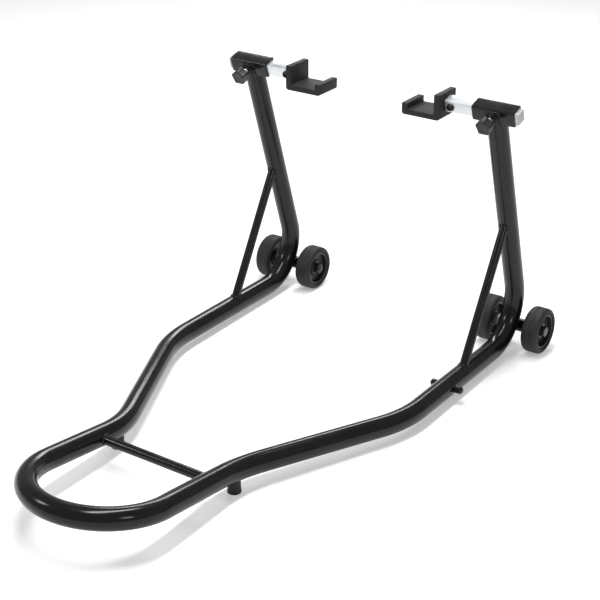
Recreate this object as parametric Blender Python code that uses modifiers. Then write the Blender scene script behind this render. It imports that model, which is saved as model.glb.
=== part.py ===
"""Motorcycle paddock stand: a bent tube frame with four wheels, two feet and two
adjustable rubber-covered lifting pads.

Metres, +Z up. The floor is z = 0, +Y runs from the handle to the wheels, and the
origin is on the floor below the middle of the stand.
"""
import math

import bmesh
import bpy
from mathutils import Matrix, Vector

# ---------------------------------------------------------------- driving dimensions
GAP = 0.0003                    # clearance left between touching pieces
THREAD_TIP_GAP = 0.0003         # clamp screw tip to slider

LENGTH = 0.767                  # handle tip to the back of the wheels
WHEEL_R = 0.03175
WHEEL_WIDTH = 0.025
AXLE_Y = LENGTH / 2 - WHEEL_R
AXLE_Z = WHEEL_R

TUBE_R = 0.01345                # 26.9 mm steel tube
TUBE_WALL = 0.002
TUBE_SIDES_SETTING = 4          # bevel resolution, gives 12 sides
RAIL_X = 0.185                  # rails and uprights, from the middle
HANDLE_X = 0.086                # straight sides of the handle, from the middle
CORNER_Y = AXLE_Y + 0.017       # where rail and upright centre lines would meet
CORNER_Z = 0.0165
SPREAD_Y = CORNER_Y - 0.311     # rail end of the spreading stretch
SPREAD_Z = 0.0208
NECK_Y = CORNER_Y - 0.523       # handle end of the spreading stretch
NECK_Z = 0.0265
HANDLE_RISE = math.radians(8.2)
NECK_BEND_R = 0.150
RAIL_BEND_R = 0.160
CORNER_BEND_R = 0.060
LEAN = math.radians(17.9)       # uprights lean towards the handle

SOCKET_Z = 0.3607
SOCKET_Y = CORNER_Y - (SOCKET_Z - CORNER_Z) * math.tan(LEAN)
SOCKET_SIDE = 0.021
SOCKET_WALL = 0.002
SOCKET_LENGTH = 0.058
UPRIGHT_PAST_SOCKET = 0.0065    # tube end above the socket's centre line

ROD_R = 0.006                   # cross brace and diagonal braces
CROSS_BRACE_Y = CORNER_Y - 0.5695
BRACE_TOP_Z = 0.2055
BRACE_FOOT_Y = CORNER_Y - 0.168
PEG_R = 0.005
PEG_Y = CORNER_Y - 0.206
PEG_LENGTH = 0.046
PEG_ROUNDING = 0.0025

FOOT_Y = CORNER_Y - 0.5326
FOOT_R = 0.0085
FOOT_SCREW_R = 0.0025
FOOT_SCREW_HEAD_R = 0.0045
FOOT_SCREW_HEAD_LOW = 0.0030
FOOT_SCREW_HEAD_TOP = 0.0065
FOOT_SCREW_PAST_WALL = 0.0020

WHEEL_OFFSET = 0.036            # wheel centre from the rail's centre
SLEEVE_R = 0.009
SLEEVE_HALF = 0.020
BOLT_R = 0.004
BOLT_BORE_R = 0.0044
HUB_HALF = 0.006
SPACER_R = 0.0085
TYRE_INNER_R = 0.0243
RIM_R = TYRE_INNER_R - GAP
TREAD_SHOULDER_R = 0.0055
BEAD_EDGE = 0.0012              # small step where the tyre meets the rim
RIM_SETBACK = 0.0022            # rim edge inside the tyre's side
RIM_THICKNESS = 0.0026
HUB_BOSS_R = 0.0115
HUB_WEB_HALF = 0.0028
HUB_EDGE = 0.0008
BUSH_R = 0.0065
BUSH_PROUD = 0.0004             # bush past the hub's face
BOLT_PAST_NUT = 0.0012
NUT_CIRCLE_R = 0.0078
BOLT_HEAD_HEIGHT = 0.0053
NUT_HEIGHT = 0.0068

SLIDER_SIDE = 0.016
SLIDER_WALL = 0.002
SLIDER_INNER_X = 0.1168         # end of the bar at the pad
SLIDER_OUTER_X = 0.2165
PLUG_HEAD = 0.0025
PLUG_CORE = 0.009               # plug inside the bar
BAR_ROUNDING = 0.0012

PAD_OUTER_X = 0.1165
PAD_WIDTH = 0.0544
PAD_LENGTH = 0.0425
PAD_WALL = 0.0086
PAD_FLOOR = 0.0075
PAD_BELOW_AXIS = 0.0188
PAD_TALL = 0.0333
PAD_LIP = 0.0154
PAD_CORNER_R = 0.004
RUBBER = 0.0020                 # rubber skin over the steel channel
RUBBER_ROUNDING = 0.0010
CHANNEL_SETBACK = 0.0015        # steel channel's back edge inside the pad's back
PIN_R = 0.0056
PIN_GROOVE_R = 0.0044
PIN_GROOVE_HALF = 0.0035
PIN_TIP_X = 0.1410
PIN_EDGE = 0.0006
PIN_CENTRE_R = 0.0008           # flat left in the middle of a turned end
PAD_SCREW_X = 0.1250
PAD_SCREW_R = 0.0025
PAD_SCREW_HEAD_R = 0.005
PAD_SCREW_HEAD_HEIGHT = 0.0035
WEB_OVERLAP = 0.001             # how far joined pieces run into one another

CLAMP_R = 0.004                 # clamp screw
CLAMP_BORE_R = 0.0044
BOSS_R = 0.0075
BOSS_END = 0.0185               # from the socket's centre, along the screw
KNOB_START = 0.0245
KNOB_LENGTH = 0.013
KNOB_R = 0.0085
KNOB_LOBE_R = 0.0035
KNOB_LOBES = 5
KNOB_LOBE_INSET = 0.0016        # lobes stop short of the knob's ends
SCREW_IN_KNOB = 0.0091
CUT_PAST = 0.010                # how far a bore's cutter runs past a face

SIDES = {"left": -1, "right": 1}

# ---------------------------------------------------------------- scene and materials
for old in list(bpy.data.objects):
    bpy.data.objects.remove(old, do_unlink=True)

parts = bpy.data.collections.new("paddock_stand")
cutters = bpy.data.collections.new("cutters")
bpy.context.scene.collection.children.link(parts)
bpy.context.scene.collection.children.link(cutters)


def material(name, colour, roughness, metallic=0.0):
    mat = bpy.data.materials.new(name)
    mat.use_nodes = True
    shader = mat.node_tree.nodes["Principled BSDF"]
    shader.inputs["Base Color"].default_value = (*colour, 1.0)
    shader.inputs["Roughness"].default_value = roughness
    shader.inputs["Metallic"].default_value = metallic
    return mat


BLACK_COAT = (0.018, 0.018, 0.020)
RUBBER_BLACK = (0.022, 0.022, 0.023)
PLASTIC_BLACK = (0.012, 0.012, 0.013)
ZINC = (0.72, 0.75, 0.77)
PALE_PLASTIC = (0.45, 0.46, 0.47)


# ---------------------------------------------------------------- small helpers
def add_object(name, mesh, mat, parent=None, collection=parts):
    obj = bpy.data.objects.new(name, mesh)
    collection.objects.link(obj)
    if mat is not None:
        mesh.materials.append(mat)
    obj.parent = parent
    return obj


def finish_cutter(obj):
    obj.hide_render = True
    obj.display_type = "WIRE"
    return obj


def mesh_from(bm, name):
    mesh = bpy.data.meshes.new(name)
    bmesh.ops.recalc_face_normals(bm, faces=bm.faces)
    bm.to_mesh(mesh)
    bm.free()
    return mesh


def smooth(mesh, angle=35):
    mesh.shade_smooth()
    mesh.set_sharp_from_angle(angle=math.radians(angle))


def box_mesh(name, size, centre=(0, 0, 0)):
    bm = bmesh.new()
    bmesh.ops.create_cube(bm, size=1.0)
    bmesh.ops.scale(bm, vec=size, verts=bm.verts)
    bmesh.ops.translate(bm, vec=centre, verts=bm.verts)
    return mesh_from(bm, name)


def rod_mesh(name, radius, start, end, segments=16, radius_end=None):
    """A closed cylinder or cone between two points."""
    start, end = Vector(start), Vector(end)
    along = end - start
    turn = Vector((0, 0, 1)).rotation_difference(along).to_matrix().to_4x4()
    bm = bmesh.new()
    bmesh.ops.create_cone(bm, cap_ends=True, segments=segments, radius1=radius,
                          radius2=radius if radius_end is None else radius_end,
                          depth=along.length)
    bmesh.ops.transform(bm, matrix=Matrix.Translation((start + end) / 2) @ turn, verts=bm.verts)
    mesh = mesh_from(bm, name)
    smooth(mesh)
    return mesh


def joined(name, meshes, mat, parent=None, edge=0.0):
    """One solid: the union of closed meshes given in the same frame. The edges of
    the first one are rounded first where an edge width is given."""
    base = add_object(name, meshes[0], mat, parent)
    if edge:
        bevel(base, edge)
    for number, mesh in enumerate(meshes[1:]):
        other = finish_cutter(add_object(f"{name}_add{number}", mesh, None, parent, cutters))
        boolean(base, other, "UNION")
    return base


def boolean(obj, other, operation="DIFFERENCE"):
    mod = obj.modifiers.new(f"{operation.lower()}_{other.name}", "BOOLEAN")
    mod.operation = operation
    mod.solver = "EXACT"
    mod.object = other
    return mod


def cutter(name, mesh, parent=None):
    return finish_cutter(add_object(name, mesh, None, parent, cutters))


def bevel(obj, width, segments=2, angle=40):
    mod = obj.modifiers.new("rounded_edges", "BEVEL")
    mod.width = width
    mod.segments = segments
    mod.limit_method = "ANGLE"
    mod.angle_limit = math.radians(angle)
    mod.use_clamp_overlap = True
    return mod


def empty(name, location, tilt=0.0):
    obj = bpy.data.objects.new(name, None)
    parts.objects.link(obj)
    obj.location = location
    obj.rotation_euler = (tilt, 0, 0)
    return obj


def turned(name, profile, mat, location, parent=None, steps=24, flip=1):
    """A closed (radius, x) outline turned about the X axis. Its outer side runs from
    high x to low x, and flip = -1 mirrors it along X."""
    mesh = bpy.data.meshes.new(name)
    points = [(radius, 0, flip * along) for radius, along in profile]
    if flip < 0:
        points.reverse()
    count = len(points)
    mesh.from_pydata(points, [(i, (i + 1) % count) for i in range(count)], [])
    obj = add_object(name, mesh, mat, parent)
    obj.location = location
    obj.rotation_euler = (0, math.pi / 2, 0)
    mod = obj.modifiers.new("turn", "SCREW")
    mod.axis = "Z"
    mod.steps = steps
    mod.render_steps = steps
    mod.use_merge_vertices = True
    mod.merge_threshold = 0.00001
    mod.use_smooth_shade = True
    return obj


def arc_points(centre, radius, start, end, count):
    """Points (u, v) on an arc, both ends included; angles in degrees."""
    steps = [start + (end - start) * i / (count - 1) for i in range(count)]
    return [(centre[0] + radius * math.cos(math.radians(a)),
             centre[1] + radius * math.sin(math.radians(a))) for a in steps]


def filleted_path(points, radii, step=math.radians(11)):
    """A polyline through the points with each inner corner rounded to its radius."""
    points = [Vector(p) for p in points]
    path = [points[0]]
    for before, corner, after, radius in zip(points, points[1:], points[2:], radii):
        d_in = (corner - before).normalized()
        d_out = (after - corner).normalized()
        turn = d_in.angle(d_out)
        centre = corner + (d_out - d_in).normalized() * radius / math.cos(turn / 2)
        start = corner - d_in * radius * math.tan(turn / 2)
        count = max(2, math.ceil(turn / step))
        spoke = start - centre
        axis = d_in.cross(d_out).normalized()
        for i in range(count + 1):
            path.append(centre + Matrix.Rotation(turn * i / count, 3, axis) @ spoke)
    path.append(points[-1])
    return path


def pipe_mesh(name, path, radius, capped):
    """The surface of a round tube along a path, as a welded mesh."""
    curve = bpy.data.curves.new(name, "CURVE")
    curve.dimensions = "3D"
    curve.bevel_depth = radius
    curve.bevel_resolution = TUBE_SIDES_SETTING
    curve.use_fill_caps = capped
    spline = curve.splines.new("POLY")
    spline.points.add(len(path) - 1)
    for point, position in zip(spline.points, path):
        point.co = (*position, 1.0)
    temporary = bpy.data.objects.new(name, curve)
    parts.objects.link(temporary)
    depsgraph = bpy.context.evaluated_depsgraph_get()
    mesh = bpy.data.meshes.new_from_object(temporary.evaluated_get(depsgraph))
    bpy.data.objects.remove(temporary, do_unlink=True)
    bm = bmesh.new()
    bm.from_mesh(mesh)
    bmesh.ops.remove_doubles(bm, verts=bm.verts, dist=0.00001)
    bmesh.ops.recalc_face_normals(bm, faces=bm.faces)
    bm.to_mesh(mesh)
    bm.free()
    mesh.shade_smooth()
    return mesh


# ---------------------------------------------------------------- frame tube
def up_the_upright(distance):
    """Offset from the socket's centre, along the upright."""
    return Vector((0, -math.sin(LEAN), math.cos(LEAN))) * distance


def handle_height(y):
    return NECK_Z + (NECK_Y - y) * math.tan(HANDLE_RISE)


def frame_path():
    """Centre line, from the left upright's top round the handle to the right one's."""
    bow_y = -LENGTH / 2 + TUBE_R + HANDLE_X * math.cos(HANDLE_RISE)
    top = Vector((RAIL_X, SOCKET_Y, SOCKET_Z)) + up_the_upright(UPRIGHT_PAST_SOCKET)
    right = [top, (RAIL_X, CORNER_Y, CORNER_Z), (RAIL_X, SPREAD_Y, SPREAD_Z),
             (HANDLE_X, NECK_Y, NECK_Z), (HANDLE_X, bow_y, handle_height(bow_y))]
    half = filleted_path(right, [CORNER_BEND_R, RAIL_BEND_R, NECK_BEND_R])
    bow = []
    turns = 14
    for i in range(1, turns):
        angle = math.pi * i / turns
        reach = HANDLE_X * math.sin(angle)
        y = bow_y - reach * math.cos(HANDLE_RISE)
        bow.append(Vector((HANDLE_X * math.cos(angle), y, handle_height(y))))
    mirrored = [Vector((-p.x, p.y, p.z)) for p in reversed(half)]
    return half + bow + mirrored


def rail_point(y):
    """The right rail's centre line at a given y, below the uprights."""
    low = [p for p in PATH[:len(PATH) // 2] if p.z < AXLE_Z * 1.5]
    for a, b in zip(low, low[1:]):
        if min(a.y, b.y) <= y <= max(a.y, b.y):
            return a.lerp(b, (y - a.y) / (b.y - a.y))


def upright_point(z):
    return Vector((RAIL_X, CORNER_Y - (z - CORNER_Z) * math.tan(LEAN), z))


PATH = frame_path()


def make_frame(mat):
    surface = pipe_mesh("frame_tube", PATH, TUBE_R, capped=False)
    frame = add_object("frame_tube", surface, mat)
    wall = frame.modifiers.new("tube_wall", "SOLIDIFY")
    wall.thickness = TUBE_WALL
    wall.offset = -1.0
    wall.use_even_offset = True
    return frame


def clearance_cutter():
    """The frame tube, solid and a little fat, for the pieces welded against it."""
    mesh = pipe_mesh("frame_clearance", PATH, TUBE_R + GAP, capped=True)
    return cutter("frame_clearance", mesh)


# ---------------------------------------------------------------- welded pieces
def make_braces(mat, clearance):
    height = handle_height(CROSS_BRACE_Y)
    ends = [(-HANDLE_X, CROSS_BRACE_Y, height), (HANDLE_X, CROSS_BRACE_Y, height)]
    brace = add_object("cross_brace", rod_mesh("cross_brace", ROD_R, *ends), mat)
    boolean(brace, clearance)
    for side, sign in SIDES.items():
        high = upright_point(BRACE_TOP_Z)
        low = rail_point(BRACE_FOOT_Y)
        high.x = low.x = sign * RAIL_X
        name = f"diagonal_brace_{side}"
        brace = add_object(name, rod_mesh(name, ROD_R, high, low), mat)
        boolean(brace, clearance)


def make_peg(mat, frame):
    """A short bar through the right rail, sticking out on both sides."""
    at = rail_point(PEG_Y)
    half = Vector((PEG_LENGTH / 2, 0, 0))
    peg = add_object("side_peg", rod_mesh("side_peg", PEG_R, at - half, at + half), mat)
    bevel(peg, PEG_ROUNDING)
    hole = rod_mesh("peg_hole", PEG_R + GAP, at - half, at + half)
    boolean(frame, cutter("peg_hole", hole))


def make_socket(side, mat, bracket, frame):
    inner = SOCKET_SIDE - 2 * SOCKET_WALL
    name = f"socket_{side}"
    socket = add_object(name, box_mesh(name, (SOCKET_LENGTH, SOCKET_SIDE, SOCKET_SIDE)), mat, bracket)
    bore = box_mesh("socket_bore", (SOCKET_LENGTH * 2, inner, inner))
    boolean(socket, cutter(f"socket_bore_{side}", bore, bracket))
    hole = rod_mesh("clamp_hole", CLAMP_BORE_R, (0, -BOSS_END - CUT_PAST, 0), (0, 0, 0))
    clamp_hole = cutter(f"clamp_hole_{side}", hole, bracket)
    boolean(socket, clamp_hole)
    seat = SOCKET_SIDE + 2 * GAP
    slot = box_mesh("socket_slot", (SOCKET_LENGTH, seat, seat))
    boolean(frame, cutter(f"socket_slot_{side}", slot, bracket))
    boolean(frame, clamp_hole)


def make_boss(side, mat, bracket, clearance):
    """Threaded boss for the clamp screw, on the front of the upright."""
    name = f"clamp_boss_{side}"
    outer = rod_mesh(name, BOSS_R, (0, -BOSS_END, 0), (0, -TUBE_R / 2, 0), segments=6)
    boss = add_object(name, outer, mat, bracket)
    boolean(boss, clearance)
    seat = SOCKET_SIDE + 2 * GAP
    boolean(boss, cutter(f"boss_trim_{side}", box_mesh("boss_trim", (seat, seat, seat)), bracket))
    bore = rod_mesh("boss_bore", CLAMP_BORE_R, (0, -BOSS_END - CUT_PAST, 0), (0, 0, 0))
    boolean(boss, cutter(f"boss_bore_{side}", bore, bracket))


# ---------------------------------------------------------------- feet
def make_foot(side, sign, rubber, steel, frame, clearance):
    at = rail_point(FOOT_Y)
    at.x *= sign
    ground = Vector((at.x, at.y, 0))
    name = f"foot_{side}"
    foot = add_object(name, rod_mesh(name, FOOT_R, ground, at), rubber)
    boolean(foot, clearance)
    up = Vector((0, 0, 1))
    below = ground - up * WEB_OVERLAP
    head_top = ground + up * FOOT_SCREW_HEAD_TOP
    hole = rod_mesh("foot_hole", FOOT_SCREW_R + GAP, below, at)
    boolean(foot, cutter(f"foot_hole_{side}", hole))
    recess = rod_mesh("foot_recess", FOOT_SCREW_HEAD_R + GAP, below, head_top)
    boolean(foot, cutter(f"foot_recess_{side}", recess))
    boolean(frame, cutter(f"foot_hole_in_tube_{side}", hole.copy()))
    head_low = ground + up * FOOT_SCREW_HEAD_LOW
    head = rod_mesh("head", FOOT_SCREW_HEAD_R, head_low, head_top - up * GAP)
    tip = at - up * (TUBE_R - TUBE_WALL - FOOT_SCREW_PAST_WALL)
    shank = rod_mesh("shank", FOOT_SCREW_R, head_low + up * WEB_OVERLAP, tip)
    joined(f"foot_screw_{side}", [head, shank], steel)


# ---------------------------------------------------------------- wheels and axles
def tyre_outline():
    """(radius, x) outline of the barrel tread, outer side from +x to -x."""
    half = WHEEL_WIDTH / 2
    middle = (WHEEL_R - TREAD_SHOULDER_R, half - TREAD_SHOULDER_R)
    crown = arc_points(middle, TREAD_SHOULDER_R, 90, 0, 4)
    lip = (TYRE_INNER_R, half - BEAD_EDGE)
    right = [lip, (TYRE_INNER_R + BEAD_EDGE, half)] + crown
    left = [(r, -x) for r, x in reversed(right)]
    return right + left


def hub_outline():
    rim_half = WHEEL_WIDTH / 2 - RIM_SETBACK
    rim_inner = RIM_R - RIM_THICKNESS
    right = [(BUSH_R + GAP, HUB_HALF), (HUB_BOSS_R - HUB_EDGE, HUB_HALF),
             (HUB_BOSS_R, HUB_HALF - HUB_EDGE), (HUB_BOSS_R, HUB_WEB_HALF),
             (rim_inner, HUB_WEB_HALF), (rim_inner, rim_half), (RIM_R, rim_half)]
    left = [(r, -x) for r, x in reversed(right)]
    return right + left


def ring_outline(inner, outer, half):
    return [(inner, half), (outer, half), (outer, -half), (inner, -half)]


def make_wheel(name, centre, tyre_mat, hub_mat, bush_mat):
    turned(f"{name}_tyre", tyre_outline(), tyre_mat, centre, steps=28)
    turned(f"{name}_hub", hub_outline(), hub_mat, centre, steps=20)
    bush = ring_outline(BOLT_BORE_R, BUSH_R, HUB_HALF + BUSH_PROUD)
    turned(f"{name}_bush", bush, bush_mat, centre, steps=14)


def make_axle(side, sign, black, zinc, clearance):
    centre = Vector((sign * RAIL_X, AXLE_Y, AXLE_Z))
    name = f"axle_sleeve_{side}"
    sleeve = turned(name, ring_outline(BOLT_BORE_R, SLEEVE_R, SLEEVE_HALF), black, centre, steps=18)
    boolean(sleeve, clearance)
    bush_end = WHEEL_OFFSET - HUB_HALF - BUSH_PROUD
    spacer_half = (bush_end - SLEEVE_HALF) / 2 - GAP
    spacer_middle = (bush_end + SLEEVE_HALF) / 2
    for place, way in (("outer", sign), ("inner", -sign)):
        at = centre + Vector((way * spacer_middle, 0, 0))
        spacer = ring_outline(BOLT_BORE_R, SPACER_R, spacer_half)
        turned(f"axle_spacer_{side}_{place}", spacer, zinc, at, steps=14)
    face = WHEEL_OFFSET + HUB_HALF + BUSH_PROUD + GAP
    out = Vector((sign, 0, 0))
    head_from = centre + out * face
    head = rod_mesh("head", NUT_CIRCLE_R, head_from, head_from + out * BOLT_HEAD_HEIGHT, 6)
    tail = face + NUT_HEIGHT + BOLT_PAST_NUT
    shank = rod_mesh("shank", BOLT_R, head_from + out * WEB_OVERLAP, centre - out * tail)
    joined(f"axle_bolt_{side}", [head, shank], zinc)
    nut_from = centre - out * face
    nut_to = centre - out * (face + NUT_HEIGHT)
    nut = add_object(f"axle_nut_{side}", rod_mesh("nut", NUT_CIRCLE_R, nut_from, nut_to, 6), zinc)
    bore = rod_mesh("nut_bore", BOLT_R + GAP, nut_from + out * CUT_PAST, nut_to - out * CUT_PAST)
    boolean(nut, cutter(f"nut_bore_{side}", bore))


# ---------------------------------------------------------------- sliders and pads
def make_slider(side, sign, bracket, zinc, pale, black):
    length = SLIDER_OUTER_X - SLIDER_INNER_X
    middle = sign * ((SLIDER_OUTER_X + SLIDER_INNER_X) / 2 - RAIL_X)
    name = f"slider_{side}"
    slider = add_object(name, box_mesh(name, (length, SLIDER_SIDE, SLIDER_SIDE)), zinc, bracket)
    slider.location = (middle, 0, 0)
    bevel(slider, BAR_ROUNDING)
    inner = SLIDER_SIDE - 2 * SLIDER_WALL
    bore = cutter(f"slider_bore_{side}", box_mesh("slider_bore", (length * 2, inner, inner)), bracket)
    bore.location = (middle, 0, 0)
    boolean(slider, bore)
    screw_x = sign * (PAD_SCREW_X - RAIL_X)
    hole = rod_mesh("pad_screw_hole", PAD_SCREW_R + GAP, (screw_x, -SLIDER_SIDE, 0), (screw_x, 0, 0))
    boolean(slider, cutter(f"pad_screw_hole_{side}", hole, bracket))

    face = sign * (SLIDER_OUTER_X - RAIL_X + GAP)
    stem = inner - 2 * GAP
    head = box_mesh("plug_head", (PLUG_HEAD, SLIDER_SIDE, SLIDER_SIDE), (face + sign * PLUG_HEAD / 2, 0, 0))
    core_middle = face + sign * (WEB_OVERLAP - PLUG_CORE) / 2
    core = box_mesh("plug_core", (PLUG_CORE + WEB_OVERLAP, stem, stem), (core_middle, 0, 0))
    joined(f"slider_plug_{side}", [head, core], pale, bracket, edge=BAR_ROUNDING)

    top = -SLIDER_SIDE / 2 - GAP
    head = rod_mesh("pad_screw_head", PAD_SCREW_HEAD_R * 0.7,
                    (screw_x, top - PAD_SCREW_HEAD_HEIGHT, 0), (screw_x, top, 0),
                    radius_end=PAD_SCREW_HEAD_R)
    shank = rod_mesh("pad_screw_shank", PAD_SCREW_R, (screw_x, top - WEB_OVERLAP, 0),
                     (screw_x, -PIN_GROOVE_R - GAP, 0))
    joined(f"pad_screw_{side}", [head, shank], black, bracket)


def channel_outline(inset):
    """Closed (x, z) outline of the pad's U channel, x inwards from its outer face and
    z up from its underside, with every face set in by the inset."""
    i = inset
    r = max(PAD_CORNER_R - i, 0.0005)
    outer_low = arc_points((i + r, i + r), r, 180, 270, 4)
    inner_low = arc_points((PAD_WIDTH - i - r, i + r), r, 270, 360, 4)
    return outer_low + inner_low + [
        (PAD_WIDTH - i, PAD_LIP - i), (PAD_WIDTH - PAD_WALL + i, PAD_LIP - i),
        (PAD_WIDTH - PAD_WALL + i, PAD_FLOOR - i), (PAD_WALL - i, PAD_FLOOR - i),
        (PAD_WALL - i, PAD_TALL - i), (i, PAD_TALL - i)]


def channel_mesh(name, inset, length, sign, shift=0.0):
    """The channel outline extruded along Y, as a mesh in the pad pivot's frame."""
    curve = bpy.data.curves.new(name, "CURVE")
    curve.dimensions = "2D"
    curve.fill_mode = "BOTH"
    curve.extrude = length / 2
    spline = curve.splines.new("POLY")
    outline = channel_outline(inset)
    spline.points.add(len(outline) - 1)
    for point, (x, z) in zip(spline.points, outline):
        point.co = (sign * (PAD_OUTER_X - x), z - PAD_BELOW_AXIS, 0, 1)
    spline.use_cyclic_u = True
    temporary = bpy.data.objects.new(name, curve)
    parts.objects.link(temporary)
    depsgraph = bpy.context.evaluated_depsgraph_get()
    mesh = bpy.data.meshes.new_from_object(temporary.evaluated_get(depsgraph))
    bpy.data.objects.remove(temporary, do_unlink=True)
    bm = bmesh.new()
    bm.from_mesh(mesh)
    bmesh.ops.remove_doubles(bm, verts=bm.verts, dist=0.00001)
    stand_up = Matrix.Translation((0, shift, 0)) @ Matrix.Rotation(math.pi / 2, 4, "X")
    bmesh.ops.transform(bm, matrix=stand_up, verts=bm.verts)
    bmesh.ops.recalc_face_normals(bm, faces=bm.faces)
    bm.to_mesh(mesh)
    bm.free()
    return mesh


def make_pad(side, sign, pivot, rubber, steel):
    name = f"pad_cover_{side}"
    cover = add_object(name, channel_mesh(name, 0.0, PAD_LENGTH, sign), rubber, pivot)
    bevel(cover, RUBBER_ROUNDING)
    pocket = channel_mesh("pad_pocket", RUBBER, PAD_LENGTH, sign, shift=RUBBER)
    boolean(cover, cutter(f"pad_pocket_{side}", pocket, pivot))
    inside = sign * (PAD_OUTER_X - PAD_WALL / 2)
    past = sign * (PAD_OUTER_X + CUT_PAST)
    hole = rod_mesh("pin_hole", PIN_R + 2 * GAP, (past, 0, 0), (inside, 0, 0))
    boolean(cover, cutter(f"pin_hole_{side}", hole, pivot))

    name = f"pad_channel_{side}"
    steel_length = PAD_LENGTH - RUBBER - GAP - CHANNEL_SETBACK
    back = PAD_LENGTH / 2 - CHANNEL_SETBACK
    shift = back - steel_length / 2
    channel = add_object(name, channel_mesh(name, RUBBER + GAP, steel_length, sign, shift), steel, pivot)
    bore = rod_mesh("channel_bore", PIN_R + GAP, (past, 0, 0),
                    (sign * (PAD_OUTER_X - PAD_WALL), 0, 0))
    boolean(channel, cutter(f"channel_bore_{side}", bore, pivot))

    tail = PAD_OUTER_X - PAD_WALL + RUBBER + 2 * GAP
    groove_far = PAD_SCREW_X + PIN_GROOVE_HALF
    groove_near = PAD_SCREW_X - PIN_GROOVE_HALF
    outline = [(PIN_CENTRE_R, PIN_TIP_X), (PIN_R - PIN_EDGE, PIN_TIP_X),
               (PIN_R, PIN_TIP_X - PIN_EDGE), (PIN_R, groove_far), (PIN_GROOVE_R, groove_far),
               (PIN_GROOVE_R, groove_near), (PIN_R, groove_near), (PIN_R, tail),
               (PIN_CENTRE_R, tail)]
    turned(f"pad_pin_{side}", outline, steel, (0, 0, 0), pivot, steps=12, flip=sign)


# ---------------------------------------------------------------- clamp
def make_clamp(side, bracket, zinc, plastic):
    tip = SLIDER_SIDE / 2 + THREAD_TIP_GAP
    end = KNOB_START + SCREW_IN_KNOB
    name = f"clamp_screw_{side}"
    screw = rod_mesh(name, CLAMP_R, (0, -end, 0), (0, -tip, 0), segments=12)
    add_object(name, screw, zinc, bracket)

    far = KNOB_START + KNOB_LENGTH
    core = rod_mesh("knob_core", KNOB_R, (0, -far, 0), (0, -KNOB_START, 0), segments=20)
    reach = KNOB_R - KNOB_LOBE_R / 3
    low, high = KNOB_START + KNOB_LOBE_INSET, far - KNOB_LOBE_INSET
    lobes = []
    for i in range(KNOB_LOBES):
        angle = 2 * math.pi * i / KNOB_LOBES + math.pi / 2
        x, z = reach * math.cos(angle), reach * math.sin(angle)
        lobes.append(rod_mesh("lobe", KNOB_LOBE_R, (x, -high, z), (x, -low, z), 8))
    knob = joined(f"clamp_knob_{side}", [core, *lobes], plastic, bracket)
    bore = rod_mesh("knob_bore", CLAMP_R + GAP, (0, -end - GAP, 0), (0, 0, 0), segments=12)
    boolean(knob, cutter(f"knob_bore_{side}", bore, bracket))


# ---------------------------------------------------------------- build
COAT = material("gloss_black_coat", BLACK_COAT, 0.25)
BLACK = material("black_oxide_steel", PLASTIC_BLACK, 0.40, 0.6)
RUBBER_MAT = material("black_rubber", RUBBER_BLACK, 0.75)
PLASTIC = material("black_plastic", PLASTIC_BLACK, 0.45)
ZINC_PLATE = material("zinc_plate", ZINC, 0.32, 0.9)
PALE = material("pale_plastic", PALE_PLASTIC, 0.50)

frame_tube = make_frame(COAT)
frame_clearance = clearance_cutter()
make_braces(COAT, frame_clearance)
make_peg(COAT, frame_tube)

for side_name, side_sign in SIDES.items():
    bracket_frame = empty(f"bracket_{side_name}", (side_sign * RAIL_X, SOCKET_Y, SOCKET_Z), LEAN)
    pad_pivot = empty(f"pad_pivot_{side_name}", (0, SOCKET_Y, SOCKET_Z))
    bpy.context.view_layer.update()
    make_socket(side_name, COAT, bracket_frame, frame_tube)
    make_boss(side_name, COAT, bracket_frame, frame_clearance)
    make_foot(side_name, side_sign, RUBBER_MAT, ZINC_PLATE, frame_tube, frame_clearance)
    make_axle(side_name, side_sign, COAT, ZINC_PLATE, frame_clearance)
    for place_name, way_sign in (("outer", side_sign), ("inner", -side_sign)):
        wheel_x = side_sign * RAIL_X + way_sign * WHEEL_OFFSET
        make_wheel(f"wheel_{side_name}_{place_name}", (wheel_x, AXLE_Y, AXLE_Z),
                   RUBBER_MAT, PLASTIC, BLACK)
    make_slider(side_name, side_sign, bracket_frame, ZINC_PLATE, PALE, BLACK)
    make_pad(side_name, side_sign, pad_pivot, RUBBER_MAT, BLACK)
    make_clamp(side_name, bracket_frame, ZINC_PLATE, PLASTIC)
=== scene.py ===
"""Motorcycle paddock stand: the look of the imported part, its floor, light and camera.

Metres, +Z up, in the part's own frame: the floor is z = 0 and +Y runs from the handle to
the wheels. Every visible piece is a mesh built here that stands for the CAD node it covers.
"""

import math

import bpy
from mathutils import Matrix, Vector


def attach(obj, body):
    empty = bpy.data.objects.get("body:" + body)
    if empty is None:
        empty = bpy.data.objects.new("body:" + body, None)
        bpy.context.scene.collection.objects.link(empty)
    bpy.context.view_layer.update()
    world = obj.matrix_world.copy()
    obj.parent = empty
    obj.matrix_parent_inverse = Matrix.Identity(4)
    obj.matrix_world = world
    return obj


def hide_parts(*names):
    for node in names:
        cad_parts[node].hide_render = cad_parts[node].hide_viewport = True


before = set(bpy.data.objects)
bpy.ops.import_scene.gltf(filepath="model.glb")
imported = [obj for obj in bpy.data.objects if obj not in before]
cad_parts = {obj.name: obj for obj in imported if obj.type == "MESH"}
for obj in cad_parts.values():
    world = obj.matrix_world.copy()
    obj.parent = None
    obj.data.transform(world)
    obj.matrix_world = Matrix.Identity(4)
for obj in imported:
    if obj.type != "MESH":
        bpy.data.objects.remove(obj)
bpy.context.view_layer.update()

# ---------------------------------------------------------------- the part's dimensions
LENGTH, WHEEL_R, WHEEL_HALF = 0.767, 0.03175, 0.0125
AXLE_Y, AXLE_Z = LENGTH / 2 - WHEEL_R, WHEEL_R
TUBE_R = 0.01345
RAIL_X, HANDLE_X = 0.185, 0.086
CORNER_Y, CORNER_Z = AXLE_Y + 0.017, 0.0165
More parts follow.
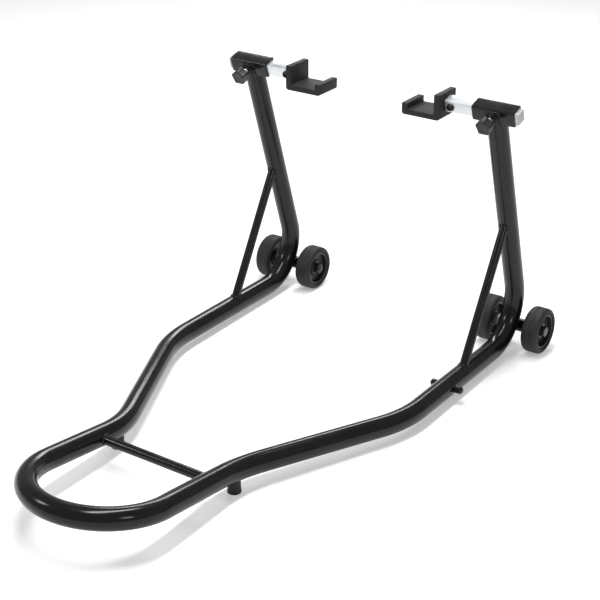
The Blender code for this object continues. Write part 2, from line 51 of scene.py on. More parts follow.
SPREAD_Y, SPREAD_Z = CORNER_Y - 0.311, 0.0208
NECK_Y, NECK_Z = CORNER_Y - 0.523, 0.0265
HANDLE_RISE = math.radians(8.2)
NECK_BEND_R, RAIL_BEND_R, CORNER_BEND_R = 0.150, 0.160, 0.060
LEAN = math.radians(17.9)
SOCKET_Z = 0.3607
SOCKET_Y = CORNER_Y - (SOCKET_Z - CORNER_Z) * math.tan(LEAN)
SOCKET_HALF, SOCKET_WALL, SOCKET_REACH = 0.0105, 0.002, 0.029
UPRIGHT_PAST_SOCKET = 0.0065
ROD_R = 0.006
CROSS_BRACE_Y = CORNER_Y - 0.5695
BRACE_TOP_Z, BRACE_FOOT_Y = 0.2055, CORNER_Y - 0.168
PEG_Y, PEG_R, PEG_HALF = CORNER_Y - 0.206, 0.005, 0.023
FOOT_Y, FOOT_R = CORNER_Y - 0.5326, 0.0085
WHEEL_OFFSET = 0.036
SLIDER_HALF, SLIDER_WALL = 0.008, 0.002
SLIDER_IN, SLIDER_OUT, PLUG_END = 0.1168, 0.2165, 0.2193
PAD_OUTER_X, PAD_WIDTH, PAD_HALF = 0.1165, 0.0544, 0.02125
PAD_WALL, PAD_FLOOR, PAD_BELOW, PAD_TALL, PAD_LIP = 0.0086, 0.0075, 0.0188, 0.0333, 0.0154
PAD_SCREW_X = 0.1250
CLAMP_R, CLAMP_START, CLAMP_LENGTH, CLAMP_PITCH = 0.0040, 0.0083, 0.0240, 0.0015
NUT_LOW, NUT_HIGH, NUT_CORNER_R, NUT_BORE_R = 0.0118, 0.0185, 0.0075, 0.0042
KNOB_START, KNOB_LENGTH, KNOB_R, KNOB_BORE_R = 0.0245, 0.013, 0.0090, 0.0043
KNOB_LOBES, KNOB_LOBE_HEIGHT = 5, 0.0017
BOLT_R, BOLT_BORE_R, BOLT_CORNER_R, BOLT_PITCH = 0.0040, 0.0044, 0.0078, 0.00125
BOLT_FACE, BOLT_HEAD, BOLT_NUT, BOLT_TAIL = 0.0427, 0.0053, 0.0068, 0.0090
TYRE_INNER_R, TREAD_SHOULDER_R, RIM_R = 0.0243, 0.0055, 0.0240

# ---------------------------------------------------------------- how finely it is built
TUBE_SIDES, WHEEL_STEPS, RIM_STEPS, HEXAGON_STEPS = 48, 96, 72, 48
SHARP_ANGLE, SMOOTH_ANGLE = 38, 80
THREAD_SIDES, THREAD_ROWS = 32, 8
WELD_R, WELD_PITCH, WELD_SIDES = 0.0017, 0.0022, 10

SIDES = {"left": -1, "right": 1}
COAT, ZINC, RUBBER, TYRE = "coat", "zinc", "rubber", "tyre"
PLASTIC, STEEL, PALE = "plastic", "black_steel", "pale_plastic"


# ---------------------------------------------------------------- materials
def node(tree, kind, **sockets):
    made = tree.nodes.new(kind)
    for name, value in sockets.items():
        made.inputs[name.replace("_", " ")].default_value = value
    return made


def finish_material(name, dark, light, worn, rough, metallic=0.0, grain=900.0, depth=0.1,
                    patch=45.0, stretch=(1, 1, 1), wear=0.35, specular=0.5):
    """A painted, plated or moulded surface: patchy colour and gloss, fine bumps and
    lighter, rubbed edges."""
    mat = bpy.data.materials.new(name)
    mat.use_nodes = True
    tree = mat.node_tree
    shader = tree.nodes["Principled BSDF"]
    shader.inputs["Metallic"].default_value = metallic
    shader.inputs["Specular IOR Level"].default_value = specular
    where = node(tree, "ShaderNodeTexCoord")
    mapping = node(tree, "ShaderNodeMapping", Scale=stretch)
    tree.links.new(where.outputs["Object"], mapping.inputs["Vector"])
    patches = node(tree, "ShaderNodeTexNoise", Scale=patch, Detail=5.0, Roughness=0.6)
    fine = node(tree, "ShaderNodeTexNoise", Scale=grain, Detail=3.0)
    for noise in (patches, fine):
        tree.links.new(mapping.outputs["Vector"], noise.inputs["Vector"])
    tint = node(tree, "ShaderNodeValToRGB")
    tint.color_ramp.elements[0].position = 0.3
    tint.color_ramp.elements[0].color = (*dark, 1)
    tint.color_ramp.elements[1].position = 0.7
    tint.color_ramp.elements[1].color = (*light, 1)
    tree.links.new(patches.outputs["Fac"], tint.inputs["Fac"])
    edge = node(tree, "ShaderNodeNewGeometry")
    edge_mask = node(tree, "ShaderNodeMapRange", From_Min=0.53, From_Max=0.62, To_Max=wear)
    tree.links.new(edge.outputs["Pointiness"], edge_mask.inputs["Value"])
    broken = node(tree, "ShaderNodeMath")
    broken.operation = "MULTIPLY"
    tree.links.new(edge_mask.outputs["Result"], broken.inputs[0])
    tree.links.new(patches.outputs["Fac"], broken.inputs[1])
    colour = node(tree, "ShaderNodeMix")
    colour.data_type = "RGBA"
    blend_in, first_colour, second_colour, colour_out = 0, 6, 7, 2
    colour.inputs[second_colour].default_value = (*worn, 1)
    tree.links.new(broken.outputs["Value"], colour.inputs[blend_in])
    tree.links.new(tint.outputs["Color"], colour.inputs[first_colour])
    tree.links.new(colour.outputs[colour_out], shader.inputs["Base Color"])
    gloss = node(tree, "ShaderNodeMapRange", From_Min=0.3, From_Max=0.7, To_Min=rough[0],
                 To_Max=rough[1])
    tree.links.new(patches.outputs["Fac"], gloss.inputs["Value"])
    tree.links.new(gloss.outputs["Result"], shader.inputs["Roughness"])
    bump = node(tree, "ShaderNodeBump", Strength=depth, Distance=0.0004)
    tree.links.new(fine.outputs["Fac"], bump.inputs["Height"])
    tree.links.new(bump.outputs["Normal"], shader.inputs["Normal"])
    return mat


MATERIALS = {
    COAT: finish_material("gloss_black_coat", (0.004, 0.004, 0.005), (0.007, 0.007, 0.008),
                          (0.04, 0.04, 0.04), (0.13, 0.21), depth=0.07, specular=0.27),
    ZINC: finish_material("zinc_plate", (0.52, 0.54, 0.56), (0.68, 0.70, 0.71),
                          (0.85, 0.85, 0.85), (0.28, 0.42), metallic=0.85, grain=1500.0,
                          depth=0.06, stretch=(0.25, 1, 1)),
    RUBBER: finish_material("black_rubber", (0.009, 0.009, 0.010), (0.017, 0.017, 0.018),
                            (0.05, 0.05, 0.05), (0.55, 0.72), grain=1800.0, depth=0.25,
                            specular=0.3),
    TYRE: finish_material("tyre_rubber", (0.013, 0.013, 0.014), (0.022, 0.022, 0.023),
                          (0.06, 0.06, 0.06), (0.50, 0.66), grain=1400.0, depth=0.20,
                          specular=0.28),
    PLASTIC: finish_material("black_plastic", (0.006, 0.006, 0.007), (0.010, 0.010, 0.011),
                             (0.06, 0.06, 0.06), (0.36, 0.50), grain=2200.0, depth=0.12),
    STEEL: finish_material("black_oxide_steel", (0.020, 0.020, 0.022), (0.045, 0.045, 0.048),
                           (0.20, 0.20, 0.20), (0.34, 0.48), metallic=0.7, grain=1500.0),
    PALE: finish_material("pale_plastic", (0.40, 0.41, 0.42), (0.50, 0.51, 0.52),
                          (0.60, 0.60, 0.60), (0.42, 0.55), grain=2200.0, depth=0.08),
}


# ---------------------------------------------------------------- mesh helpers
def shell_mesh(name, loops, matrix=None, wrap=False, sharp=SHARP_ANGLE):
    """A closed mesh through loops of points, all with the same count of points."""
    count = len(loops[0])
    verts = [Vector(p) for loop in loops for p in loop]
    if matrix is not None:
        verts = [matrix @ v for v in verts]
    rows = len(loops) if wrap else len(loops) - 1
    faces = []
    for row in range(rows):
        a, b = row * count, (row + 1) % len(loops) * count
        for i in range(count):
            j = (i + 1) % count
            faces.append((a + i, a + j, b + j, b + i))
    if not wrap:
        faces.append(tuple(range(count))[::-1])
        last = (len(loops) - 1) * count
        faces.append(tuple(range(last, last + count)))
    mesh = bpy.data.meshes.new(name)
    mesh.from_pydata(verts, [], faces)
    mesh.update()
    volume = sum(verts[f[0]].dot((verts[f[1]] - verts[f[0]]).cross(verts[f[2]] - verts[f[0]]))
                 for f in faces)
    if volume < 0:
        mesh.flip_normals()
    mesh.shade_smooth()
    mesh.set_sharp_from_angle(angle=math.radians(sharp))
    return mesh


def new_object(name, mesh):
    obj = bpy.data.objects.new(name, mesh)
    bpy.context.scene.collection.objects.link(obj)
    return obj


def loft(name, loops, slot, body, nodes=(), matrix=None, wrap=False, sharp=SHARP_ANGLE):
    """One piece through the loops. It rides on the body, and stands for the CAD nodes
    named."""
    mesh = shell_mesh(name, loops, matrix, wrap, sharp)
    mesh.materials.append(MATERIALS[slot])
    obj = new_object(name, mesh)
    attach(obj, body)
    if nodes:
        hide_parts(*nodes)
    return obj


def circle(centre, u, v, radius, count):
    return [centre + (u * math.cos(a) + v * math.sin(a)) * radius
            for a in (2 * math.pi * i / count for i in range(count))]


def sweep_loops(path, radius, count, closed=False):
    """Circles along a path, square to it and without twist. The radius may be one
    number or one for each point."""
    total = len(path)
    radii = radius if isinstance(radius, list) else [radius] * total
    tangents = []
    for i in range(total):
        before = path[i - 1] if closed or i else path[0]
        after = path[(i + 1) % total] if closed or i < total - 1 else path[-1]
        tangents.append((after - before).normalized())
    side = tangents[0].orthogonal().normalized()
    loops = []
    for point, tangent, size in zip(path, tangents, radii):
        side = (side - tangent * side.dot(tangent)).normalized()
        loops.append(circle(point, side, tangent.cross(side), size, count))
    return loops


def turned(name, profile, centre, slot, body, nodes=(), steps=64, flip=1, axis=None):
    """A closed (radius, x) outline turned about an axis through centre, along +X unless
    an axis is given."""
    along = Vector((1, 0, 0)) if axis is None else Vector(axis).normalized()
    u = along.orthogonal().normalized()
    v = along.cross(u)
    loops = [circle(Vector(centre) + along * x * flip, u, v, r, steps) for r, x in profile]
    return loft(name, loops, slot, body, nodes, wrap=True)


def rounded_square(half, radius, x, corner_steps=5):
    loop = []
    for corner in range(4):
        a0 = math.pi / 2 * corner
        cy = (half - radius) * (1 if corner in (0, 3) else -1)
        cz = (half - radius) * (1 if corner in (0, 1) else -1)
        for i in range(corner_steps + 1):
            a = a0 + math.pi / 2 * i / corner_steps
            loop.append((x, cy + radius * math.cos(a), cz + radius * math.sin(a)))
    return loop


def square_tube(name, low, high, half, radius, wall, slot, body, node_name, matrix):
    """A square tube along local X with rounded corners and eased ends."""
    ease = 0.0005
    inner, inner_r = half - wall, max(radius - wall, 0.0006)
    loops = [rounded_square(half, radius, low + ease), rounded_square(half, radius, high - ease),
             rounded_square(half - ease, radius, high), rounded_square(inner, inner_r, high),
             rounded_square(inner, inner_r, low), rounded_square(half - ease, radius, low)]
    return loft(name, loops, slot, body, [node_name], matrix, wrap=True)


def weld(name, loop, matrix=None, radius=WELD_R):
    """A rippled bead along a closed loop of points, part of the frame."""
    points = [Vector(p) for p in loop]
    dense = []
    for a, b in zip(points, points[1:] + points[:1]):
        pieces = max(1, round((b - a).length / (WELD_PITCH / 6)))
        dense += [a.lerp(b, i / pieces) for i in range(pieces)]
    run, sizes = 0.0, []
    for i, point in enumerate(dense):
        run += (point - dense[i - 1]).length if i else 0.0
        wave = abs(math.sin(math.pi * run / WELD_PITCH))
        slow = 0.06 * math.sin(run * 310) + 0.05 * math.sin(run * 770)
        sizes.append(radius * (0.80 + 0.20 * wave + slow))
    return loft(name, sweep_loops(dense, sizes, WELD_SIDES, closed=True), COAT, "frame",
                matrix=matrix, wrap=True, sharp=SMOOTH_ANGLE)


# ---------------------------------------------------------------- the bent tube
def filleted_path(points, radii, step=math.radians(3)):
    points = [Vector(p) for p in points]
    path = [points[0]]
    for before, corner, after, radius in zip(points, points[1:], points[2:], radii):
        d_in = (corner - before).normalized()
        d_out = (after - corner).normalized()
        turn = d_in.angle(d_out)
        centre = corner + (d_out - d_in).normalized() * radius / math.cos(turn / 2)
        spoke = corner - d_in * radius * math.tan(turn / 2) - centre
        axis = d_in.cross(d_out).normalized()
        count = math.ceil(turn / step)
        path += [centre + Matrix.Rotation(turn * i / count, 3, axis) @ spoke
                 for i in range(count + 1)]
    path.append(points[-1])
    return path


def handle_height(y):
    return NECK_Z + (NECK_Y - y) * math.tan(HANDLE_RISE)


def frame_path():
    bow_y = -LENGTH / 2 + TUBE_R + HANDLE_X * math.cos(HANDLE_RISE)
    up = Vector((0, -math.sin(LEAN), math.cos(LEAN)))
    top = Vector((RAIL_X, SOCKET_Y, SOCKET_Z)) + up * UPRIGHT_PAST_SOCKET
    right = [top, (RAIL_X, CORNER_Y, CORNER_Z), (RAIL_X, SPREAD_Y, SPREAD_Z),
             (HANDLE_X, NECK_Y, NECK_Z), (HANDLE_X, bow_y, handle_height(bow_y))]
    half = filleted_path(right, [CORNER_BEND_R, RAIL_BEND_R, NECK_BEND_R])
    turns = 60
    bow = []
    for i in range(1, turns):
        angle = math.pi * i / turns
        y = bow_y - HANDLE_X * math.sin(angle) * math.cos(HANDLE_RISE)
        bow.append(Vector((HANDLE_X * math.cos(angle), y, handle_height(y))))
    return half + bow + [Vector((-p.x, p.y, p.z)) for p in reversed(half)]


PATH = frame_path()


def rail_point(y, sign=1):
    low = [p for p in PATH[:len(PATH) // 2] if p.z < AXLE_Z * 1.5]
    for a, b in zip(low, low[1:]):
        if min(a.y, b.y) <= y <= max(a.y, b.y):
            at = a.lerp(b, (y - a.y) / (b.y - a.y))
            return Vector((at.x * sign, at.y, at.z))


def upright_point(z, sign=1):
    return Vector((sign * RAIL_X, CORNER_Y - (z - CORNER_Z) * math.tan(LEAN), z))


def tube_distance(point):
    best = 1.0
    for a, b in zip(PATH, PATH[1:]):
        along = b - a
        t = max(0.0, min(1.0, (point - a).dot(along) / along.length_squared))
        best = min(best, (point - a - along * t).length)
    return best


def weld_round_rod(name, start, end):
    """A bead where a rod from the middle of the tube, at start, leaves its surface."""
    along = (end - start).normalized()
    u = along.orthogonal().normalized()
    v = along.cross(u)
    loop = []
    for i in range(24):
        a = 2 * math.pi * i / 24
        low, high = 0.0, TUBE_R * 2.2
        for _ in range(14):
            middle = (low + high) / 2
            point = start + (u * math.cos(a) + v * math.sin(a)) * ROD_R + along * middle
            if tube_distance(point) < TUBE_R:
                low = middle
            else:
                high = middle
        loop.append(start + (u * math.cos(a) + v * math.sin(a)) * ROD_R + along * high)
    weld(name, loop)


def rod(name, start, end, radius, slot, body, nodes, ease=0.0006, count=32):
    along = (end - start).normalized()
    path = [start, start, start + along * ease, end - along * ease, end, end]
    radii = [0.0001, radius - ease, radius, radius, radius - ease, 0.0001]
    u = along.orthogonal().normalized()
    loops = [circle(p, u, along.cross(u), r, count) for p, r in zip(path, radii)]
    return loft(name, loops, slot, body, nodes)


def bracket_matrix(sign):
    place = Matrix.Translation((sign * RAIL_X, SOCKET_Y, SOCKET_Z))
    return place @ Matrix.Rotation(LEAN, 4, "X")


def open_for_sockets(skin):
    """Cuts the tube away where each socket passes through it."""
    half = SOCKET_HALF - SOCKET_WALL / 2
    loops = [rounded_square(half, 0.0012, x) for x in (-SOCKET_REACH, SOCKET_REACH)]
    tools = []
    for side, sign in SIDES.items():
        tool = new_object(f"socket_cut_{side}",
                          shell_mesh(f"socket_cut_{side}", loops, bracket_matrix(sign)))
        cut = skin.modifiers.new(tool.name, "BOOLEAN")
        cut.operation, cut.solver, cut.object = "DIFFERENCE", "EXACT", tool
        tools.append(tool)
    depsgraph = bpy.context.evaluated_depsgraph_get()
    opened = bpy.data.meshes.new_from_object(skin.evaluated_get(depsgraph))
    skin.modifiers.clear()
    skin.data = opened
    for tool in tools:
        bpy.data.objects.remove(tool, do_unlink=True)
    opened.shade_smooth()
    opened.set_sharp_from_angle(angle=math.radians(SHARP_ANGLE))


def make_frame():
    loops = sweep_loops(PATH, TUBE_R, TUBE_SIDES)
    skin = loft("frame_tube_skin", loops, COAT, "frame", ["frame_tube"])
    open_for_sockets(skin)
    height = handle_height(CROSS_BRACE_Y)
    left, right = (Vector((x, CROSS_BRACE_Y, height)) for x in (-HANDLE_X, HANDLE_X))
    rod("cross_brace_rod", left, right, ROD_R, COAT, "frame", ["cross_brace"])
    weld_round_rod("cross_brace_weld_left", left, right)
    weld_round_rod("cross_brace_weld_right", right, left)
    for side, sign in SIDES.items():
        high, low = upright_point(BRACE_TOP_Z, sign), rail_point(BRACE_FOOT_Y, sign)
        rod(f"diagonal_brace_rod_{side}", high, low, ROD_R, COAT, "frame",
            [f"diagonal_brace_{side}"])
        weld_round_rod(f"diagonal_brace_top_weld_{side}", high, low)
        weld_round_rod(f"diagonal_brace_low_weld_{side}", low, high)
    at, half = rail_point(PEG_Y), Vector((PEG_HALF, 0, 0))
    rod("side_peg_bar", at - half, at + half, PEG_R, COAT, "frame", ["side_peg"], ease=0.0024)


# ---------------------------------------------------------------- sockets, bars and pads
def socket_weld_path():
    """Down one face of the socket, under it and up the other face, in its own frame."""
    low, high, face = -SOCKET_HALF, UPRIGHT_PAST_SOCKET, SOCKET_HALF
    lap = math.sqrt(TUBE_R ** 2 - face ** 2)
    loop = []
    for way in (-1, 1):
        start = math.atan2(way * face, -way * lap)
        end = math.atan2(way * face, way * lap)
        loop += [(-way * lap, way * face, low), (-way * lap, way * face, high),
                 (way * lap, way * face, high), (way * lap, way * face, low)]
        turn = (math.atan2(-way * face, way * lap) - end + math.pi) % (2 * math.pi) - math.pi
        loop += [(TUBE_R * math.cos(end + turn * i / 12), TUBE_R * math.sin(end + turn * i / 12),
                  low) for i in range(1, 12)]
    return loop


def hexagon(name, centre, out, radius, low, high, hole, slot, nodes):
    """A six-sided nut or head along an axis, its corners turned off at both ends."""
    u = out.orthogonal().normalized()
    v = out.cross(u)
    half_side = math.pi / 6
    flats = radius * math.cos(half_side)
    chamfer, turned_off = 0.0008, flats * 0.97

    def ring(distance, limit):
        loop = []
        for i in range(HEXAGON_STEPS):
            a = 2 * math.pi * i / HEXAGON_STEPS
            r = min(flats / math.cos((a + half_side) % (2 * half_side) - half_side), limit)
            loop.append(centre + out * distance + (u * math.cos(a) + v * math.sin(a)) * r)
        return loop

    loops = [ring(low, turned_off), ring(low + chamfer, radius), ring(high - chamfer, radius),
             ring(high, turned_off), ring(high, hole), ring(low, hole)]
    return loft(name, loops, slot, "frame", nodes, wrap=True, sharp=20)


def threaded_rod(name, start, out, radius, length, pitch, slot, body, nodes=()):
    """A screw thread along an axis, with both ends chamfered."""
    u = out.orthogonal().normalized()
    v = out.cross(u)
    depth, chamfer = 0.0004, 0.0008
    rows = round(length / pitch * THREAD_ROWS)
    loops = []
    for row in range(rows + 1):
        distance = length * row / rows
        at_end = chamfer if row in (0, rows) else 0.0
        loop = []
        for i in range(THREAD_SIDES):
            a = 2 * math.pi * i / THREAD_SIDES
            phase = (distance / pitch - i / THREAD_SIDES) % 1.0
            r = radius - depth * (1 - abs(2 * phase - 1)) - at_end
            loop.append(start + out * distance + (u * math.cos(a) + v * math.sin(a)) * r)
        loops.append(loop)
    return loft(name, loops, slot, body, nodes, sharp=SMOOTH_ANGLE)


def knob_loops(start, out):
    """From the bored back face round the lobed grip to the dished front face."""
    u = Vector((1, 0, 0))
    v = out.cross(u)
    lobed = [(0.86, 0.0), (0.95, 0.05), (1.0, 0.14), (1.0, 0.50), (1.0, 0.86), (0.95, 0.95),
             (0.86, 1.0)]
    dish = [(0.62, 1.0), (0.56, 0.96), (0.30, 0.95), (0.02, 0.95)]
    profile = [(KNOB_BORE_R / KNOB_R, 0.0, 0.0)]
    profile += [(scale, along, KNOB_LOBE_HEIGHT) for scale, along in lobed]
    profile += [(scale, along, 0.0) for scale, along in dish]
    count = 100
    loops = []
    for scale, along, height in profile:
        loop = []
        for i in range(count):
            a = 2 * math.pi * i / count
            wave = 0.5 + 0.5 * math.cos(KNOB_LOBES * (a - math.pi / 2))
            r = (KNOB_R + height * wave ** 1.6) * scale
            around = (u * math.cos(a) + v * math.sin(a)) * r
            loop.append(start + out * KNOB_LENGTH * along + around)
        loops.append(loop)
    return loops


def channel_outline(inset, sign):
    """Closed outline of the pad's U, from its outer low corner round to its tall edge."""
    i, corner, edge = inset, 0.004, 0.0012

    def arc(cx, cz, r, start, end, count=6):
        return [(cx + r * math.cos(math.radians(start + (end - start) * k / count)),
                 cz + r * math.sin(math.radians(start + (end - start) * k / count)))
                for k in range(count + 1)]

    r, e, n = max(corner - i, 0.0004), max(edge - i, 0.0002), edge + i
    far, lip_in, wall_in = PAD_WIDTH - i, PAD_WIDTH - PAD_WALL + i, PAD_WALL - i
    floor, lip, tall = PAD_FLOOR - i, PAD_LIP - i, PAD_TALL - i
    line = arc(i + r, i + r, r, 180, 270) + arc(far - r, i + r, r, 270, 360)
    line += arc(far - e, lip - e, e, 0, 90) + arc(lip_in + e, lip - e, e, 90, 180)
    line += arc(lip_in - n, floor + n, n, 360, 270) + arc(wall_in + n, floor + n, n, 270, 180)
    line += arc(wall_in - e, tall - e, e, 0, 90) + arc(i + e, tall - e, e, 90, 180)
    return [(sign * (PAD_OUTER_X - x), z - PAD_BELOW) for x, z in line]


def make_pad(side, sign):
    body, origin = f"pad_{side}", Vector((0, SOCKET_Y, SOCKET_Z))
    ease, skin, deep = 0.0010, 0.0020, 0.0030
    rings = [(0.0010, -PAD_HALF), (0.0003, -PAD_HALF + ease * 0.3), (0.0, -PAD_HALF + ease),
             (0.0, PAD_HALF - ease), (0.0003, PAD_HALF - ease * 0.3), (0.0008, PAD_HALF),
             (skin, PAD_HALF), (skin, PAD_HALF - deep)]
    loops = [[origin + Vector((x, y, z)) for x, z in channel_outline(inset, sign)]
             for inset, y in rings]
    loft(f"pad_boot_{side}", loops, RUBBER, body, [f"pad_cover_{side}"])


def make_bracket(side, sign):
    matrix = bracket_matrix(sign)
    front = (matrix.to_3x3() @ Vector((0, -1, 0))).normalized()
    centre = matrix.translation
    arm = f"slider_arm_{side}"
    square_tube(f"socket_tube_{side}", -SOCKET_REACH, SOCKET_REACH, SOCKET_HALF, 0.0024,
                SOCKET_WALL, COAT, "frame", f"socket_{side}", matrix)
    weld(f"socket_weld_{side}", socket_weld_path(), matrix)
    hexagon(f"clamp_nut_{side}", centre, front, NUT_CORNER_R, NUT_LOW, NUT_HIGH, NUT_BORE_R,
            COAT, [f"clamp_boss_{side}"])
    ring = circle(centre + front * (TUBE_R + 0.0004), Vector((1, 0, 0)),
                  front.cross(Vector((1, 0, 0))), 0.0069, 32)
    weld(f"clamp_nut_weld_{side}", ring, radius=0.0012)
    threaded_rod(f"clamp_thread_{side}", centre + front * CLAMP_START, front, CLAMP_R,
                 CLAMP_LENGTH, CLAMP_PITCH, ZINC, f"clamp_rod_{side}", [f"clamp_screw_{side}"])
    loft(f"clamp_grip_{side}", knob_loops(centre + front * KNOB_START, front), PLASTIC,
         f"knob_{side}", [f"clamp_knob_{side}"])

    low, high = sorted((sign * (SLIDER_IN - RAIL_X), sign * (SLIDER_OUT - RAIL_X)))
    square_tube(f"slider_bar_{side}", low, high, SLIDER_HALF, 0.0014, SLIDER_WALL, ZINC, arm,
                f"slider_{side}", matrix)
    plug = [(0.0062, SLIDER_OUT - 0.008), (0.0062, SLIDER_OUT + 0.0002),
            (SLIDER_HALF, SLIDER_OUT + 0.0003), (SLIDER_HALF, PLUG_END - 0.0012),
            (SLIDER_HALF - 0.0005, PLUG_END - 0.0004), (SLIDER_HALF - 0.0014, PLUG_END)]
    loops = [rounded_square(half, 0.0016, sign * (x - RAIL_X)) for half, x in plug]
    loft(f"slider_end_plug_{side}", loops, PALE, arm, [f"slider_plug_{side}"], matrix)
    screw = matrix @ Vector((sign * (PAD_SCREW_X - RAIL_X), 0, 0))
    dome = [(0.0002, 0.0047), (0.0025, 0.0047), (0.0025, 0.0083), (0.0050, 0.0083),
            (0.0049, 0.0098), (0.0042, 0.0110), (0.0032, 0.0117), (0.0024, 0.0118),
            (0.0022, 0.0098), (0.0002, 0.0098)]
    turned(f"pad_screw_dome_{side}", dome, screw, STEEL, arm, [f"pad_screw_{side}"], steps=36,
           axis=front)


# ---------------------------------------------------------------- wheels and axles
def mirrored(right):
    """A closed outline from its right half."""
    return right + [(r, -x) for r, x in reversed(right)]


def make_wheel(side, sign, place, way):
    body = f"wheel_{side}_{place}"
    centre = Vector((sign * RAIL_X + way * WHEEL_OFFSET, AXLE_Y, AXLE_Z))
    half, inner, shoulder = WHEEL_HALF, TYRE_INNER_R, TREAD_SHOULDER_R
    crown = [(WHEEL_R - shoulder + shoulder * math.sin(math.radians(a)),
              half - shoulder + shoulder * math.cos(math.radians(a))) for a in range(0, 91, 9)]
    bead = [(0.0, 0.0020), (0.0004, 0.0010), (0.0010, 0.0002), (0.0016, 0.0001),
            (0.0019, 0.0006)]
    right = [(inner + out, half - back) for out, back in bead]
    right += [(r, x - 0.0002) for r, x in crown if r > inner + 0.0024]
    right += [(WHEEL_R, 0.0030), (WHEEL_R, 0.0004), (WHEEL_R - 0.00015, 0.0002)]
    outline = mirrored(right)
    turned(f"{body}_tread", outline, centre, TYRE, body, [f"{body}_tyre"], steps=WHEEL_STEPS)

    deep = half - 0.0022
    side_line = [(0.0068, 0.0056), (0.0074, 0.0060), (0.0092, 0.0060), (0.0096, 0.0055),
                 (0.0100, 0.0055), (0.0104, 0.0060), (0.0110, 0.0060), (0.0115, 0.0054),
                 (0.0118, 0.0036), (0.0126, 0.0029), (0.0140, 0.0028), (0.0196, 0.0028),
                 (0.0208, 0.0034), (0.0213, 0.0050), (0.0214, deep - 0.0006),
                 (0.0219, deep - 0.0001), (0.0226, deep), (0.0236, deep),
                 (RIM_R, deep - 0.0006)]
    turned(f"{body}_rim", mirrored(side_line), centre, PLASTIC, body, [f"{body}_hub"],
           steps=RIM_STEPS)
    bush = [(BOLT_BORE_R, 0.0060), (0.0048, 0.0064), (0.0061, 0.0064), (0.0065, 0.0060)]
    turned(f"{body}_sleeve", mirrored(bush), centre, STEEL, body, [f"{body}_bush"], steps=40)


def make_axle(side, sign):
    centre = Vector((sign * RAIL_X, AXLE_Y, AXLE_Z))
    out = Vector((sign, 0, 0))
    sleeve = [(BOLT_BORE_R, 0.0200), (0.0084, 0.0200), (0.0090, 0.0194)]
    turned(f"axle_tube_{side}", mirrored(sleeve), centre, COAT, "frame",
           [f"axle_sleeve_{side}"])
    low, high, rounding = 0.0203, 0.0293, 0.0004
    collar = [(BOLT_BORE_R, low), (BOLT_BORE_R, high), (0.0081, high), (0.0085, high - rounding),
              (0.0085, low + rounding), (0.0081, low)]
    for place, way in (("outer", 1), ("inner", -1)):
        turned(f"axle_collar_{side}_{place}", collar, centre, ZINC, "frame",
               [f"axle_spacer_{side}_{place}"], flip=sign * way)
    hexagon(f"axle_bolt_head_{side}", centre, out, BOLT_CORNER_R, BOLT_FACE + 0.0004,
            BOLT_FACE + BOLT_HEAD, 0.0002, STEEL, [f"axle_bolt_{side}"])
    washer = [(0.0041, BOLT_FACE), (0.0068, BOLT_FACE), (0.0068, BOLT_FACE + 0.0006),
              (0.0041, BOLT_FACE + 0.0006)]
    turned(f"axle_bolt_face_{side}", washer, centre, STEEL, "frame", flip=sign)
    threaded_rod(f"axle_bolt_shank_{side}", centre + out * (BOLT_FACE + 0.001), -out, BOLT_R,
                 2 * BOLT_FACE + BOLT_TAIL, BOLT_PITCH, STEEL, "frame")
    hexagon(f"axle_lock_nut_{side}", centre, -out, BOLT_CORNER_R, BOLT_FACE,
            BOLT_FACE + BOLT_NUT, 0.0039, STEEL, [f"axle_nut_{side}"])


def make_foot(side, sign):
    """A rubber bumper whose screw sits in a recess underneath it."""
    at = rail_point(FOOT_Y, sign)
    ground = Vector((at.x, at.y, 0))
    up = Vector((0, 0, 1))
    recess_r, recess_top, bore_r = 0.0048, 0.0065, 0.0028
    top = at.z - TUBE_R + 0.0030
    outline = [(recess_r, recess_top), (recess_r, 0.0004), (0.0052, 0.0), (0.0078, 0.0),
               (0.0084, 0.0006), (FOOT_R, 0.0016), (0.0081, 0.0040), (0.0078, 0.0075),
               (0.0078, top), (bore_r, top), (bore_r, recess_top)]
    turned(f"foot_bumper_{side}", outline, ground, RUBBER, "frame", [f"foot_{side}"], axis=up)
    middle, drive_r, shank_r = 0.0002, 0.0018, 0.0025
    head_low, head_top, shank_top = 0.0030, 0.0062, at.z - 0.0095
    screw = [(middle, 0.0048), (drive_r, 0.0048), (drive_r, head_low), (0.0038, head_low),
             (0.0045, 0.0036), (0.0045, head_top), (shank_r, head_top), (shank_r, shank_top),
             (middle, shank_top)]
    turned(f"foot_screw_body_{side}", screw, ground, ZINC, "frame", [f"foot_screw_{side}"],
           axis=up, steps=36)


make_frame()
for side_name, side_sign in SIDES.items():
    make_bracket(side_name, side_sign)
    make_pad(side_name, side_sign)
    make_axle(side_name, side_sign)
    make_foot(side_name, side_sign)
    make_wheel(side_name, side_sign, "outer", side_sign)
    make_wheel(side_name, side_sign, "inner", -side_sign)
for cad_name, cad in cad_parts.items():
    if cad_name.startswith(("pad_channel", "pad_pin")):
        cad.data.materials.clear()
        cad.data.materials.append(MATERIALS[STEEL])


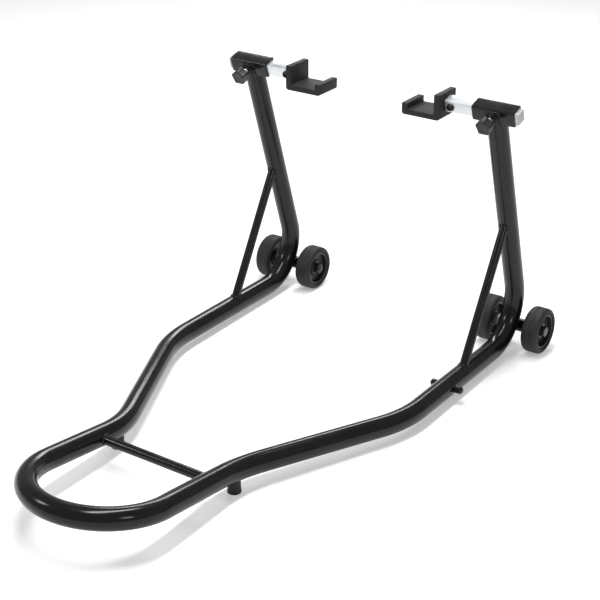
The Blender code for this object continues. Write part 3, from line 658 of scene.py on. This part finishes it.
# ---------------------------------------------------------------- floor, light and camera
def pale_floor():
    half = 6.0
    mesh = bpy.data.meshes.new("studio_floor")
    mesh.from_pydata([(-half, -half, 0), (half, -half, 0), (half, half, 0), (-half, half, 0)], [],
                     [(0, 1, 2, 3)])
    mat = bpy.data.materials.new("pale_floor")
    mat.use_nodes = True
    tree = mat.node_tree
    shader = tree.nodes["Principled BSDF"]
    noise = node(tree, "ShaderNodeTexNoise", Scale=3.0)
    ramp = node(tree, "ShaderNodeValToRGB")
    ramp.color_ramp.elements[0].color = (0.86, 0.86, 0.86, 1)
    ramp.color_ramp.elements[1].color = (0.89, 0.89, 0.89, 1)
    tree.links.new(noise.outputs["Fac"], ramp.inputs["Fac"])
    tree.links.new(ramp.outputs["Color"], shader.inputs["Base Color"])
    shader.inputs["Roughness"].default_value = 0.9
    shader.inputs["Emission Color"].default_value = (1, 1, 1, 1)
    shader.inputs["Emission Strength"].default_value = 0.30
    mesh.materials.append(mat)
    floor = bpy.data.objects.new("studio_floor", mesh)
    bpy.context.scene.collection.objects.link(floor)


def soft_light(name, location, target, size, power):
    light = bpy.data.lights.new(name, "AREA")
    light.shape = "RECTANGLE"
    light.size, light.size_y = size
    light.energy = power
    lamp = bpy.data.objects.new(name, light)
    bpy.context.scene.collection.objects.link(lamp)
    lamp.location = location
    aim = Vector(target) - Vector(location)
    lamp.rotation_mode = "QUATERNION"
    lamp.rotation_quaternion = aim.to_track_quat("-Z", "Y")


pale_floor()
soft_light("overhead_softbox", (0.0, 0.1, 1.8), (0, 0, 0), (0.26, 1.4), 27)
soft_light("back_softbox", (-0.9, 1.6, 1.3), (0, 0, 0.1), (0.9, 0.3), 12)
soft_light("key_softbox", (-1.5, -1.2, 1.5), (0, 0, 0.1), (0.40, 0.40), 9)
soft_light("fill_softbox", (1.9, -0.8, 1.2), (0, 0, 0.1), (0.4, 0.4), 5)
world = bpy.data.worlds.new("studio")
world.use_nodes = True
world.node_tree.nodes["Background"].inputs["Color"].default_value = (1, 1, 1, 1)
world.node_tree.nodes["Background"].inputs["Strength"].default_value = 0.38
bpy.context.scene.world = world
bpy.context.scene.view_settings.view_transform = "Standard"

camera_data = bpy.data.cameras.new("photo_camera")
camera_data.lens = 86.72
camera_data.sensor_width = 36.0
camera = bpy.data.objects.new("photo_camera", camera_data)
bpy.context.scene.collection.objects.link(camera)
camera.location = (0.9452, -1.2849, 0.9247)
camera.rotation_mode = "QUATERNION"
camera.rotation_quaternion = Vector((-0.5080, 0.7441, -0.4340)).to_track_quat("-Z", "Y")
bpy.context.scene.camera = camera
